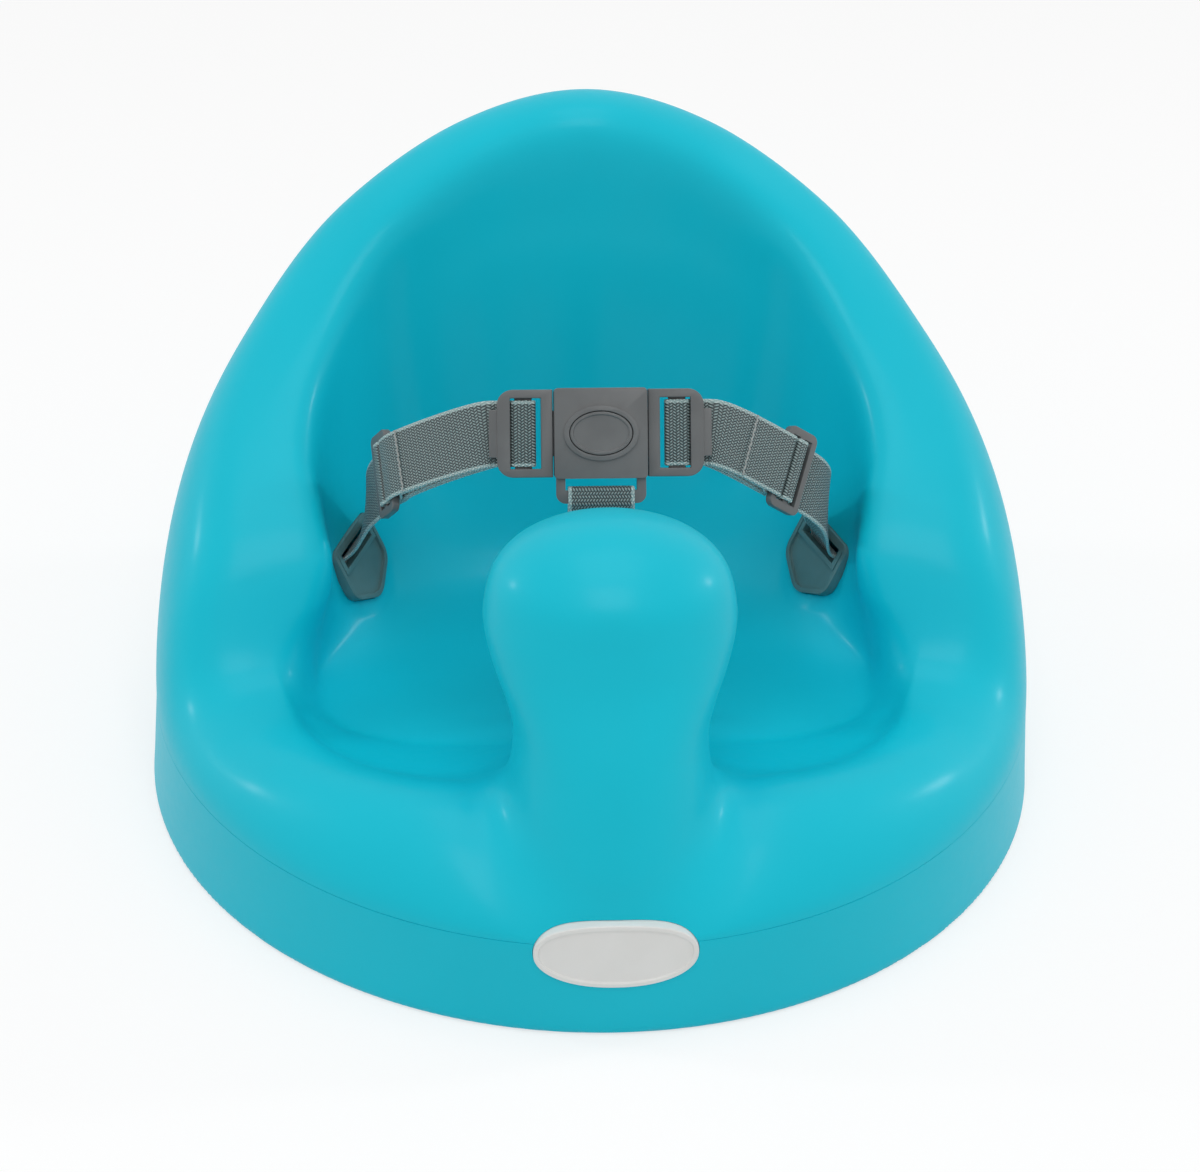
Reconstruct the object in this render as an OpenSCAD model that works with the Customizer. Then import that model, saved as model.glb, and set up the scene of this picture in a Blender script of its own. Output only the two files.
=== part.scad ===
// Baby floor seat: a one-piece moulded foam seat with a three-point harness.
// Millimetres. +Z is up, the seat faces -Y, and the base stands on Z = 0.

/* [Foam seat] */
// Radius of the round body at the mould's parting line
base_r = 174.5; // [165:0.5:190]
// Height of the straight base band, up to the parting line
band_h = 39; // [34:1:44]
// How much wider the base band is at the floor
band_draft = 3; // [0:0.5:5]
// Height of the top of the backrest
back_h = 237; // [225:1:250]
// Height of the armrests
arm_h = 111; // [104:1:118]
// Height of the lip of the leg openings
lip_h = 70; // [64:1:76]
// Height of the flat seat pan
pan_h = 46; // [40:1:50]

/* [Pommel] */
// Height of the pommel's top
pommel_h = 166; // [160:1:168]
// Width of the pommel's round head
pommel_w = 93; // [84:1:100]
// Width of the pommel's neck
neck_w = 71; // [62:1:78]

/* [Badge plate] */
// Width of the oval plate on the front
badge_w = 60; // [50:1:70]
// Height of the oval plate
badge_h = 26.5; // [22:0.5:30]
// Height of the plate's centre above the floor
badge_z = 35.5; // [33:0.5:38]
// How far the plate stands out of the foam
badge_proud = 1.2; // [0.6:0.2:2]

/* [Webbing] */
// Width of the harness webbing
web_w = 25; // [20:1:28]
// Thickness of the harness webbing
web_t = 1.2; // [1:0.1:1.4]

/* [Anchor plates] */
// Width of an anchor plate, along its slot
plate_w = 37; // [35:1:44]
// Height of an anchor plate
plate_h = 30; // [28:1:32]
// Thickness of an anchor plate over its rim
plate_t = 4; // [3:0.5:5]
// Plan angle of the waist anchors, from the front
anchor_turn = 110; // [106:1:114]
// Diameter of the strap retainer rods under the seat
rod_d = 5; // [4:0.5:6]

/* [Buckle] */
// Width of the buckle's housing
buckle_w = 35; // [33:1:38]
// Height of the buckle's housing, without its strap loop
buckle_h = 34; // [34:1:36]
// Width of each tongue's frame
tongue_w = 21; // [21:0.5:22]
// Length of the oval button
button_w = 23.6; // [20:0.2:25]
// Height of the oval button
button_h = 16.4; // [14:0.2:18]
// How far the button is pressed
button_press = 1.6; // [1:0.1:2]
// How far the harness holds the buckle back from upright, in degrees
buckle_tilt = 30; // [26:1:34]

/* [Sliders] */
// Thickness of the flat bars of a strap slider
slider_bar = 2.6; // [2.2:0.1:3]
// Gap between two bars of a strap slider
slider_gap = 3.9; // [3.8:0.1:4.4]

/* [Hidden] */

// Clearances
fit = 0.3;          // between hard pieces that pass each other
soft_fit = 0.3;     // between webbing and what it passes
seat_fit = 0.2;     // round a plate in its seat in the foam

// Where the harness is held, as it hangs in the photograph
buckle_at = [-0.5, -24, 165];
slider_at_left = [-82, 4, 131];
slider_at_right = [75, -8, 138];
slider_dir_left = [-0.35, 0.62, -0.70];
slider_dir_right = [0.73, 0.30, -0.61];
crotch_y = -33;     // slot of the crotch anchor, on the pan behind the pommel

FOAM = "#12b4cb";
HARDWARE = "#6b6967";
PLATE = "#42585e";
WEBBING = "#6f9296";
PALE = "#e9e8e4";
STEEL = "#b9bcc0";

// ---- Curves ------------------------------------------------------------

// Stations of the seat's wall, by plan angle from the front, 0 to 180.
// Each row: angle, crest radius, crest height, rise and reach of the
// outer curve, reach of the inner curve, wall radius, height and lean
// (90 is upright, more overhangs), radius of the pan's edge, and how soft
// that edge is.
stations = [
    [0, 116, lip_h - 12, 6, 30, 12, 84, pan_h + 7, 16, 56, 0.2],
    [22, 134, lip_h, 9, 20, 14, 98, pan_h + 11, 16, 60, 0.2],
    [36, 142, lip_h - 1, 8, 18, 15, 108, pan_h + 10, 15, 69, 0.2],
    [52, 145, lip_h - 5, 8, 19, 16, 119, pan_h + 8, 16, 90, 0.2],
    [64, 141, lip_h - 7, 10, 24, 16, 122, pan_h + 8, 28, 106, 0.25],
    [74, 137, lip_h, 13, 28, 20, 119, pan_h + 13, 60, 113, 0.4],
    [84, 137, arm_h - 9, 22, 31, 30, 105, arm_h - 30, 98, 114, 0.8],
    [94, 139, arm_h + 9, 30, 33, 30, 106, arm_h - 18, 94, 98, 1],
    [104, 142, arm_h + 23, 38, 33, 26, 110, arm_h - 4, 82, 76, 1.2],
    [122, 147, 158, 58, 30, 25, 118, 132, 78, 68, 1.5],
    [140, 147, 192, 80, 27, 26, 120, 154, 78, 64, 1.5],
    [158, 133, 223, 104, 27, 25, 108, 178, 77, 58, 1.5],
    [180, 125, back_h, 116, 27, 25, 99, 186, 77, 56, 1.5],
];
last = len(stations) - 1;

function row_of(a, i = 0) = i >= last - 1 || stations[i + 1][0] > a ? i : row_of(a, i + 1);
function slope(i, k) = i == 0 || i == last ? 0
    : (stations[i + 1][k] - stations[i - 1][k]) / (stations[i + 1][0] - stations[i - 1][0]);
// Value k of the stations at angle a, as a smooth curve through the rows
function at(a, k) =
    let (i = row_of(a), p = stations[i], q = stations[i + 1], d = q[0] - p[0], t = (a - p[0]) / d)
    p[k] * (1 + 2 * t) * pow(1 - t, 2) + q[k] * t * t * (3 - 2 * t)
    + d * slope(i, k) * t * pow(1 - t, 2) - d * slope(i + 1, k) * t * t * (1 - t);

function bezier(p, t) = p[0] * pow(1 - t, 3) + 3 * p[1] * t * pow(1 - t, 2)
    + 3 * p[2] * t * t * (1 - t) + p[3] * pow(t, 3);
function bezier_slope(p, t) = (p[1] - p[0]) * pow(1 - t, 2)
    + (p[2] - p[1]) * 2 * t * (1 - t) + (p[3] - p[2]) * t * t;
function unit(v) = v / norm(v);
function ellipse(w, h, n = 48) = [for (i = [0:n - 1]) [w / 2 * cos(360 * i / n), h / 2 * sin(360 * i / n)]];
// An oval that is fuller at its corners than an ellipse
function squared(v) = sign(v) * pow(abs(v), 0.88);
function oval(w, h, n = 64) = [for (i = [0:n - 1]) let (a = 360 * (i + 0.5) / n)
    [w / 2 * squared(cos(a)), h / 2 * squared(sin(a))]];
function arc(c, r, from, to, n) = [for (i = [0:n])
    let (a = from + (to - from) * i / n) c + r * [cos(a), sin(a)]];

// ---- Foam seat -----------------------------------------------------------

// The inner wall at angle a, from the wall point down to the pan
function inner_curve(a) =
    let (wall = [at(a, 6), at(a, 7)],
         lean = [cos(at(a, 8)), sin(at(a, 8))],
         pan = [at(a, 9), pan_h],
         soft = at(a, 10),
         handle = soft * max(6, (wall[0] - pan[0]) * 0.4) + (1 - soft) * 3)
    [wall, wall - lean * norm(wall - pan) * max(0.45, 0.8 - 0.35 * soft), pan + [handle, 0], pan];

// Meridian of the seat at angle a, from the floor round the rim to the pan
steps = 8;
function meridian(a) =
    let (crest = [at(a, 1), at(a, 2)],
         inner = inner_curve(a),
         lean = [cos(at(a, 8)), sin(at(a, 8))],
         outer = [[base_r, band_h], [base_r, band_h + at(a, 3)], crest + [at(a, 4), 0], crest],
         over = [crest, crest - [at(a, 5), 0],
                 inner[0] + lean * norm(crest - inner[0]) * 0.6, inner[0]])
    concat([[base_r + band_draft - 2, 0], [base_r + band_draft, 2]],
        [for (i = [0:steps - 1]) bezier(outer, i / steps)],
        [for (i = [0:steps - 1]) bezier(over, i / steps)],
        [for (i = [0:steps]) bezier(inner, i / steps)],
        [[inner[3][0] * 0.5, pan_h]]);

turns = 96;
rows = len(meridian(0));
function mirrored(a) = a > 180 ? 360 - a : a;

module wall_loft() {
    rings = [for (i = [0:turns - 1]) let (a = 360 * i / turns)
        [for (p = meridian(mirrored(a))) [p[0] * sin(a), -p[0] * cos(a), p[1]]]];
    points = concat([for (ring = rings) each ring], [[0, 0, 0], [0, 0, pan_h]]);
    under = turns * rows;
    faces = [for (i = [0:turns - 1]) let (a = i * rows, b = (i + 1) % turns * rows)
        each concat([[under, a, b], [under + 1, b + rows - 1, a + rows - 1]],
            [for (j = [0:rows - 2]) each [[a + j, a + j + 1, b + j + 1], [a + j, b + j + 1, b + j]]])];
    polyhedron(points, faces, convexity = 8);
}

// Sections of the pommel: height, centre y, half width, half depth
pommel = [
    [pan_h - 6, 53.5 - base_r, neck_w * 0.68, 51.5],
    [lip_h - 12, 53.5 - base_r, neck_w * 0.585, 47.5],
    [lip_h + 6, 54.5 - base_r, neck_w * 0.53, 41],
    [lip_h + 28, 60.5 - base_r, neck_w * 0.51, 37],
    [pommel_h - 46, 72.5 - base_r, pommel_w * 0.475, 36],
    [pommel_h - 32, 79.5 - base_r, pommel_w * 0.50, 37],
    [pommel_h - 16, 82.5 - base_r, pommel_w * 0.445, 33],
    [pommel_h - 5, 83.5 - base_r, pommel_w * 0.28, 20],
    [pommel_h, 83.5 - base_r, 0.5, 0.5],
];
top = len(pommel) - 1;
function pommel_slope(i) = i == 0 ? pommel[1] - pommel[0]
    : i == top ? [0, 0, -pommel_w * 0.25, -18] : (pommel[i + 1] - pommel[i - 1]) / 2;
function pommel_section(i, t) = pommel[i] * (1 + 2 * t) * pow(1 - t, 2)
    + pommel[i + 1] * t * t * (3 - 2 * t)
    + pommel_slope(i) * t * pow(1 - t, 2) - pommel_slope(i + 1) * t * t * (1 - t);

module pommel_loft() {
    n = 44;
    secs = concat([for (i = [0:top - 1], t = [0:2]) pommel_section(i, t / 3)], [pommel[top]]);
    m = len(secs);
    points = concat([for (s = secs, k = [0:n - 1]) let (a = 360 * k / n)
        [s[2] * cos(a), s[1] + s[3] * sin(a), s[0]]],
        [[0, secs[0][1], secs[0][0]], [0, secs[m - 1][1], secs[m - 1][0]]]);
    faces = [for (k = [0:n - 1]) let (l = (k + 1) % n)
        each concat([[n * m, k, l], [n * m + 1, (m - 1) * n + l, (m - 1) * n + k]],
            [for (j = [0:m - 2]) each [[j * n + k, (j + 1) * n + k, (j + 1) * n + l],
                [j * n + k, (j + 1) * n + l, j * n + l]]])];
    polyhedron(points, faces, convexity = 4);
}

module foam_seat() {
    color(FOAM) difference() {
        union() {
            wall_loft();
            pommel_loft();
        }
        badge_seat();
        for (side = [-1, 1]) anchor_cut(side);
        crotch_cut();
    }
}

// ---- Anchors: plate on the foam, channel through it, rod under it ----------

// Frame of the right waist anchor, on the inner wall: origin, and the
// directions to the front, up the wall and out of the wall
anchor_at = 0.46;   // place on the inner curve, 0 at the wall, 1 at the pan
anchor_curve = inner_curve(anchor_turn);
anchor_p = bezier(anchor_curve, anchor_at);
anchor_d = unit(-bezier_slope(anchor_curve, anchor_at));
anchor_o = [anchor_p[0] * sin(anchor_turn), -anchor_p[0] * cos(anchor_turn), anchor_p[1]];
anchor_y = [anchor_d[0] * sin(anchor_turn), -anchor_d[0] * cos(anchor_turn), anchor_d[1]];
anchor_x = -[cos(anchor_turn), sin(anchor_turn), 0];
anchor_z = cross(anchor_x, anchor_y);

plate_sink = 1.2;                        // how deep a plate sits in the foam
slot_y = plate_h / 2 - 6.5;              // slot's place on the plate
slot_l = web_w + 2;
slot_t = web_t * 2 + 4;
pocket_h = 12;                           // pocket in the underside
pocket_l = 44;
pocket_w = 18;
channel_t = 7;
rod_l = 38;
rod_z = pocket_h - rod_d / 2 - fit;

function anchor_point(side, p) =
    let (q = anchor_o + anchor_x * p[0] + anchor_y * p[1] + anchor_z * p[2]) [side * q[0], q[1], q[2]];

module anchor_frame(side) {
    mirror([side < 0 ? 1 : 0, 0, 0])
        multmatrix([for (i = [0:2]) [anchor_x[i], anchor_y[i], anchor_z[i], anchor_o[i]]])
            children();
}

module crotch_frame() {
    translate([0, crotch_y + slot_y, pan_h])
        rotate(180)
            children();
}

// Outline of an anchor plate: flat top over the slot, rounded foot
plate_corner = 4;
plate_side = 8;
plate_foot = 11;
module plate_outline(grow = 0) {
    hull() {
        for (x = [-1, 1]) translate([x * (plate_w / 2 - plate_corner), plate_h / 2 - plate_corner])
            circle(r = plate_corner + grow, $fn = 24);
        for (x = [-1, 1]) translate([x * (plate_w / 2 - plate_side), -2]) circle(r = plate_side + grow, $fn = 32);
        translate([0, -plate_h / 2 + plate_foot]) circle(r = plate_foot + grow, $fn = 40);
    }
}

module anchor_plate() {
    color(PLATE) translate([0, 0, -plate_sink + 0.1]) difference() {
        linear_extrude(plate_t) plate_outline();
        translate([0, 0, plate_t - 1.3]) linear_extrude(2) difference() {
            plate_outline(-2);
            translate([-slot_l / 2 - 2.5, slot_y - slot_t / 2 - 2]) square([slot_l + 5, plate_h]);
        }
        translate([-slot_l / 2, slot_y - slot_t / 2, -1]) cube([slot_l, slot_t, plate_t + 2]);
    }
}

// Place of a retainer rod: under its channel, in a pocket of the underside
rod_turn = anchor_turn;
rod_r = anchor_p[0] + 22;
rod_at_right = [rod_r * sin(rod_turn), -rod_r * cos(rod_turn), rod_z];
function rod_at(side) = [side * rod_at_right[0], rod_at_right[1], rod_z];
rod_at_crotch = [0, crotch_y, rod_z];

module retainer_rod() {
    color(STEEL) rotate([0, 90, 0]) cylinder(h = rod_l, d = rod_d, center = true, $fn = 48);
}
module rod_frame(side) {
    translate(rod_at(side)) rotate(side * (rod_turn)) children();
}

module rod_pocket() {
    hull() for (x = [-1, 1]) translate([x * (pocket_l - pocket_w) / 2, 0, -rod_z - 1])
        cylinder(h = pocket_h + 1, d = pocket_w, $fn = 32);
}

module anchor_cut(side) {
    anchor_frame(side) translate([0, 0, -plate_sink]) linear_extrude(14) plate_outline(seat_fit);
    rod_frame(side) rod_pocket();
    hull() {
        anchor_frame(side) translate([0, slot_y, -plate_sink]) cube([slot_l, channel_t, 1], center = true);
        rod_frame(side) translate([0, loop_r - 1, rod_d / 2]) cube([slot_l, channel_t, 1], center = true);
    }
}

module crotch_cut() {
    crotch_frame() translate([0, 0, -plate_sink]) linear_extrude(14) plate_outline(seat_fit);
    translate(rod_at_crotch) rod_pocket();
    hull() for (p = [[crotch_y - loop_r + 1, pocket_h - 1], [crotch_y, pan_h]]) translate([0, p[0], p[1]])
        cube([slot_l, channel_t, 2], center = true);
}

// ---- Badge plate ---------------------------------------------------------

function band_radius(z) = base_r + band_draft * max(0, 1 - z / band_h);

badge_deep = 4;          // how deep the plate sits in the foam
badge_rim = 2.6;         // width of the raised rim round the bare field
badge_field = 0.6;       // how far the field lies below the rim
badge_lean = 1.2;        // how far the plate leans back above the parting line

// Oval piece of the band between two radii, measured from the band's face
module badge_layer(inner, outer, grow = 0) {
    low = badge_z - badge_h / 2 - 2;
    high = badge_z + badge_h / 2 + 2;
    intersection() {
        rotate_extrude($fn = 180) polygon([
            [base_r + inner - badge_lean, low], [band_radius(low) + outer, low],
            [base_r + outer, band_h], [base_r + outer - badge_lean, high],
            [base_r + inner - badge_lean, high]]);
        translate([0, -base_r / 2, badge_z]) rotate([90, 0, 0])
            linear_extrude(base_r) polygon(oval(badge_w + 2 * grow, badge_h + 2 * grow));
    }
}

// The plate's seat, open to the front
module badge_seat() {
    badge_layer(-badge_deep - seat_fit, badge_proud + 6, seat_fit);
}

module badge_field_cut() {
    low = badge_z - badge_h / 2 - 2;
    high = badge_z + badge_h / 2 + 2;
    face = badge_proud - badge_field;
    intersection() {
        rotate_extrude($fn = 180) polygon([
            [band_radius(low) + face, low], [base_r + face, band_h], [base_r + face - badge_lean, high],
            [base_r + face + 9, high], [base_r + face + 9, low]]);
        translate([0, -base_r / 2, badge_z]) rotate([90, 0, 0]) linear_extrude(base_r)
            polygon(oval(badge_w - 2 * badge_rim, badge_h - 2 * badge_rim));
    }
}

module badge_plate() {
    color(PALE) difference() {
        badge_layer(-badge_deep, badge_proud);
        badge_field_cut();
    }
}

// ---- Buckle --------------------------------------------------------------

module at_buckle() {
    translate(buckle_at) rotate([90 - buckle_tilt, 0, 0]) children();
}
function from_buckle(p) = buckle_at + [p[0],
    p[1] * sin(buckle_tilt) - p[2] * cos(buckle_tilt), p[1] * cos(buckle_tilt) + p[2] * sin(buckle_tilt)];

module rounded(w, h, r, t) {
    linear_extrude(t) hull() for (x = [-1, 1], y = [-1, 1])
        translate([x * (w / 2 - r), y * (h / 2 - r)]) circle(r = r, $fn = 32);
}

buckle_front_t = 6;      // front shell, in front of the parting plane
buckle_back_t = 5;       // back shell, behind it
wall = 1.8;
blade_w = 17;            // tongue blade
blade_t = 2.2;
loop_slot = 4.4;         // slot of the strap loop
loop_bar = 5;            // bar of the strap loop
loop_y = -buckle_h / 2 - loop_slot - loop_bar;
loop_back = 0.6;
loop_front = 4.2;
ring_w = 28;
ring_h = 20.6;

module buckle_front() {
    at_buckle() color(HARDWARE) difference() {
        union() {
            rounded(buckle_w, buckle_h, 1.6, buckle_front_t);
            linear_extrude(buckle_front_t + 1.1) polygon(ellipse(ring_w, ring_h));
            // Strap loop below the housing
            translate([0, 0, loop_back]) linear_extrude(loop_front - loop_back) difference() {
                hull() {
                    translate([-buckle_w / 2 + 0.6, -buckle_h / 2 + 2]) square([buckle_w - 1.2, 1]);
                    for (x = [-1, 1]) translate([x * (buckle_w / 2 - 4.1), loop_y + 3.5])
                        circle(r = 3.5, $fn = 32);
                }
                translate([-slot_l / 2, loop_y + loop_bar]) square([slot_l, loop_slot]);
            }
        }
        translate([0, 0, -1]) rounded(buckle_w - 2 * wall, buckle_h - 2 * wall, 1.6, buckle_front_t - wall + 1);
        translate([0, 0, -1]) linear_extrude(buckle_front_t + 5)
            polygon(ellipse(button_w + 2 * fit, button_h + 2 * fit));
        // Mouths for the two tongues
        translate([-buckle_w, -blade_w / 2 - fit, -1]) cube([2 * buckle_w, blade_w + 2 * fit, 1 + blade_t / 2 + fit]);
    }
}

module buckle_back() {
    at_buckle() color(HARDWARE) difference() {
        union() {
            translate([0, 0, -buckle_back_t]) rounded(buckle_w, buckle_h, 1.6, buckle_back_t);
            // Rim that plugs into the front shell
            for (y = [-1, 1]) translate([-buckle_w / 2 + wall + 2, y * (buckle_h / 2 - wall - 0.9) - 0.7, -1])
                cube([buckle_w - 2 * wall - 4, 1.4, 3]);
        }
        translate([0, 0, -buckle_back_t + wall])
            rounded(buckle_w - 2 * wall - 3, buckle_h - 2 * wall - 5, 1.6, buckle_back_t);
        translate([-buckle_w, -blade_w / 2 - fit, -blade_t / 2 - fit]) cube([2 * buckle_w, blade_w + 2 * fit, 10]);
    }
    // Boss that the spring stands round
    at_buckle() color(HARDWARE) translate([0, 0, -buckle_back_t + 0.5]) cylinder(h = 2.2, d = 3, $fn = 32);
}

button_top = buckle_front_t + 0.7;
button_deep = button_top - blade_t / 2 - fit - button_press - 0.3;
flange_t = buckle_front_t - wall - (button_top - button_deep) - 0.1;

module buckle_button() {
    at_buckle() color(HARDWARE) translate([0, 0, button_top - button_deep]) difference() {
        union() {
            linear_extrude(button_deep) polygon(ellipse(button_w, button_h));
            // Flange that keeps the button in the housing
            linear_extrude(flange_t) polygon(ellipse(button_w + 2.4, button_h + 2.4));
        }
        // Dished face and hollow underside
        translate([0, 0, button_deep - 0.5]) linear_extrude(2) polygon(ellipse(button_w - 2.6, button_h - 2.6));
        translate([0, 0, -1]) cylinder(h = 2.4, d = 9.4, $fn = 48);
    }
}

spring_d = 7.6;
spring_wire = 0.7;
spring_turns = 5;

module button_spring() {
    n = 24;
    low = -buckle_back_t + wall + spring_wire / 2 + 0.1;
    high = button_top - button_deep + 1.4 - spring_wire / 2 - 0.1;
    function coil(i) = let (a = 360 * i / n, t = i / (n * spring_turns))
        [spring_d / 2 * cos(a), spring_d / 2 * sin(a), low + (high - low) * t];
    at_buckle() color(STEEL) tube([for (i = [0:n * spring_turns]) coil(i)], spring_wire / 2, 6);
}

// Round wire of k sides along a list of points
module tube(path, r, k) {
    m = len(path);
    dirs = [for (i = [0:m - 1]) unit(path[min(i + 1, m - 1)] - path[max(i - 1, 0)])];
    points = concat([for (i = [0:m - 1], j = [0:k - 1])
        let (u = unit(cross(dirs[i], [0, 0, 1])), v = cross(dirs[i], u))
        path[i] + r * (u * cos(360 * j / k) + v * sin(360 * j / k))], [path[0], path[m - 1]]);
    faces = concat(
        [for (i = [0:m - 2], j = [0:k - 1]) let (a = i * k + j, b = i * k + (j + 1) % k)
            each [[a, b + k, b], [a, a + k, b + k]]],
        [for (j = [0:k - 1]) each [[m * k, j, (j + 1) % k],
            [m * k + 1, (m - 1) * k + (j + 1) % k, (m - 1) * k + j]]]);
    polyhedron(points, faces, convexity = 6);
}

// A tongue, pointing to +X from the buckle: frame, middle bar and blade
frame_in = buckle_w / 2 + 0.5;
frame_out = frame_in + tongue_w;
outer_bar = 5;
inner_bar = 4.4;
open_out = frame_out - outer_bar;
open_in = frame_in + inner_bar;
roll_gap = web_t + 2 * soft_fit;
mid_out = open_out - roll_gap;
mid_in = open_in + roll_gap + 1.6;
frame_z = -2.2;
frame_t = 4.8;
hole_h = web_w + 1.6;
tongue_h = buckle_h - 1;

module tongue() {
    color(HARDWARE) {
        difference() {
            union() {
                translate([frame_in, 0, frame_z]) linear_extrude(frame_t) hull() {
                    for (y = [-1, 1]) translate([tongue_w - 6, y * (tongue_h / 2 - 6)]) circle(r = 6, $fn = 32);
                    translate([0, -tongue_h / 2]) square([2, tongue_h]);
                }
                // Lip over the webbing
                translate([frame_out - 1, -9, 0.2]) cube([4, 18, 1.8]);
                // Blade with its hook, inside the housing
                translate([6, -blade_w / 2, -blade_t / 2]) cube([frame_in - 5, blade_w, blade_t]);
            }
            translate([open_in, -hole_h / 2, -5]) cube([open_out - open_in, hole_h, 12]);
            // The outer bar is relieved underneath, where the webbing enters
            translate([open_out - 1, -hole_h / 2, frame_z - 1]) cube([outer_bar + 5, hole_h, 1 - frame_z - 0.6]);
            // Gap that frees the hook's spring arm
            for (y = [-1, 1]) translate([5, y * 4.4 - 0.8, -3]) cube([9, 1.6, 6]);
            translate([8, -2.6, -3]) cube([4, 5.2, 3 - blade_t / 2 + 1]);
        }
        translate([mid_in, -hole_h / 2 - 1, frame_z]) cube([mid_out - mid_in, hole_h + 2, 2.6]);
    }
}

// ---- Sliders and straps --------------------------------------------------

slider_l = 3 * slider_bar + 2 * slider_gap;
slider_h = web_w + 8;
slider_t = 3;

function slider_at(side) = side < 0 ? slider_at_left : slider_at_right;
function strap_start(side) = from_buckle([side * (frame_out + 2), 0, frame_z]);
function strap_dir(side) = unit(side < 0 ? slider_dir_left : slider_dir_right);
function across(dir, v) = unit(v - dir * (dir * v));
up_buckle = [0, sin(buckle_tilt), cos(buckle_tilt)];
out_buckle = [0, -cos(buckle_tilt), sin(buckle_tilt)];
function strap_up(side) = across(strap_dir(side), up_buckle);
function strap_out(side) = side * cross(strap_dir(side), strap_up(side));

module at_slider(side) {
    d = strap_dir(side);
    u = strap_up(side);
    o = strap_out(side);
    p = slider_at(side);
    multmatrix([for (i = [0:2]) [d[i], u[i], o[i], p[i]]]) children();
}

module slider() {
    color(HARDWARE) translate([0, 0, -slider_t / 2]) difference() {
        rounded(slider_l, slider_h, 3, slider_t);
        for (x = [-1, 1]) translate([x * (slider_bar + slider_gap) / 2 - slider_gap / 2, -web_w / 2 - 0.8, -1])
            cube([slider_gap, web_w + 1.6, slider_t + 2]);
    }
}

// A ribbon of webbing along stations of [centre, width direction]
module ribbon(stations) {
    m = len(stations);
    c = [for (s = stations) s[0]];
    dirs = [for (i = [0:m - 1]) unit(c[min(i + 1, m - 1)] - c[max(i - 1, 0)])];
    points = [for (i = [0:m - 1])
        let (w = across(dirs[i], stations[i][1]) * web_w / 2, h = unit(cross(dirs[i], w)) * web_t / 2)
        each [c[i] - w - h, c[i] + w - h, c[i] + w + h, c[i] - w + h]];
    faces = concat([[0, 1, 2], [0, 2, 3]],
        [for (i = [0:m - 2], j = [0:3]) let (a = 4 * i + j, b = 4 * i + (j + 1) % 4)
            each [[a, a + 4, b + 4], [a, b + 4, b]]],
        [let (e = 4 * (m - 1)) each [[e, e + 2, e + 1], [e, e + 3, e + 2]]]);
    polyhedron(points, faces, convexity = 6);
}

// The spine of a waist strap, by zone: 0 to 1 in the tongue, 1 to 2 the run,
// 2 to 3 in the slider, 3 to 4 the drop to the plate, 4 to 5 through the foam
slider_zone = slider_l + 4;
drop_run = 30;                          // how far it keeps its way past the slider
drop_pull = 10;                         // how far it stands off the plate
function slot_point(side) = anchor_point(side, [0, slot_y, plate_t / 2 - plate_sink]);
function anchor_out(side) = [side * anchor_z[0], anchor_z[1], anchor_z[2] + 0.6];

function spine(side, s) =
    let (tongue = strap_start(side), d = strap_dir(side), mid = slider_at(side),
         near = mid - d * slider_zone / 2, far = mid + d * slider_zone / 2,
         slot = slot_point(side))
    s < 1 ? from_buckle([side * (open_out + (frame_out + 2 - open_out) * s), 0, frame_z])
    : s < 2 ? bezier([tongue, tongue + [side * 6, 0, 0], near - d * 8, near], s - 1)
    : s < 3 ? near + (far - near) * (s - 2)
    : s < 4 ? bezier([far, far + d * drop_run, slot + anchor_out(side) * drop_pull, slot], s - 3)
    : slot + (rod_side(side) - slot) * (s - 4);
function spine_up(side, s) =
    let (level = [-side * anchor_x[0], -anchor_x[1], 0], t = s - 3)
    s < 1 ? up_buckle : s < 2 ? up_buckle + (strap_up(side) - up_buckle) * (s - 1)
    : s < 3 ? strap_up(side)
    : s < 4 ? strap_up(side) + (level - strap_up(side)) * t * t * (3 - 2 * t) : level;
function spine_out(side, s) =
    let (d = unit(spine(side, s + 0.02) - spine(side, s - 0.02)))
    side * cross(d, across(d, spine_up(side, s)));
// Station of the ribbon at place s on the spine, h in front of it
function on_spine(side, p) = [spine(side, p[0]) + spine_out(side, p[0]) * p[1], spine_up(side, p[0])];

// Places on the spine, given in real sizes
function in_tongue(p) = [(p[0] - open_out) / (frame_out + 2 - open_out), p[1]];
function in_slider(p) = [2.5 + p[0] / slider_zone, p[1]];

// The strap's end is sewn round its rod: plan of the loop from the rod's axis,
// as distance across the rod and height, starting where the strap meets it
bend = web_t / 2 + soft_fit;            // middle of the webbing from what it turns on
loop_r = rod_d / 2 + bend;
function rod_loop(run) = let (g = atan2(-run[1], run[0]))
    [for (i = [0:12]) loop_r * [cos(270 - g + 195 * i / 12), sin(270 - g + 195 * i / 12)]];
function slot_run(side) = let (p = slot_point(side))
    [rod_r - norm([p[0], p[1]]), rod_z - p[2]];
function rod_outward(side) = [side * sin(rod_turn), -cos(rod_turn), 0];
function rod_place(side, q) = rod_at(side) + rod_outward(side) * q[0] + [0, 0, q[1]];
function rod_side(side) = rod_place(side, rod_loop(slot_run(side))[0]);

// Round a bar's corner, for lists of places in the tongue or the slider
function corner(x, h, from, to) = arc([x, h], bend, from, to, 4);
mid_top = 2.6;                          // the tongue's middle bar, above the spine
bar_top = slider_t / 2;
under_lip = 1.6;                        // the outer bar's underside, above the spine
bar_x = slider_l / 2 - slider_bar;      // inner side of the slider's outer bars
bar_c = slider_bar / 2;

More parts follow.
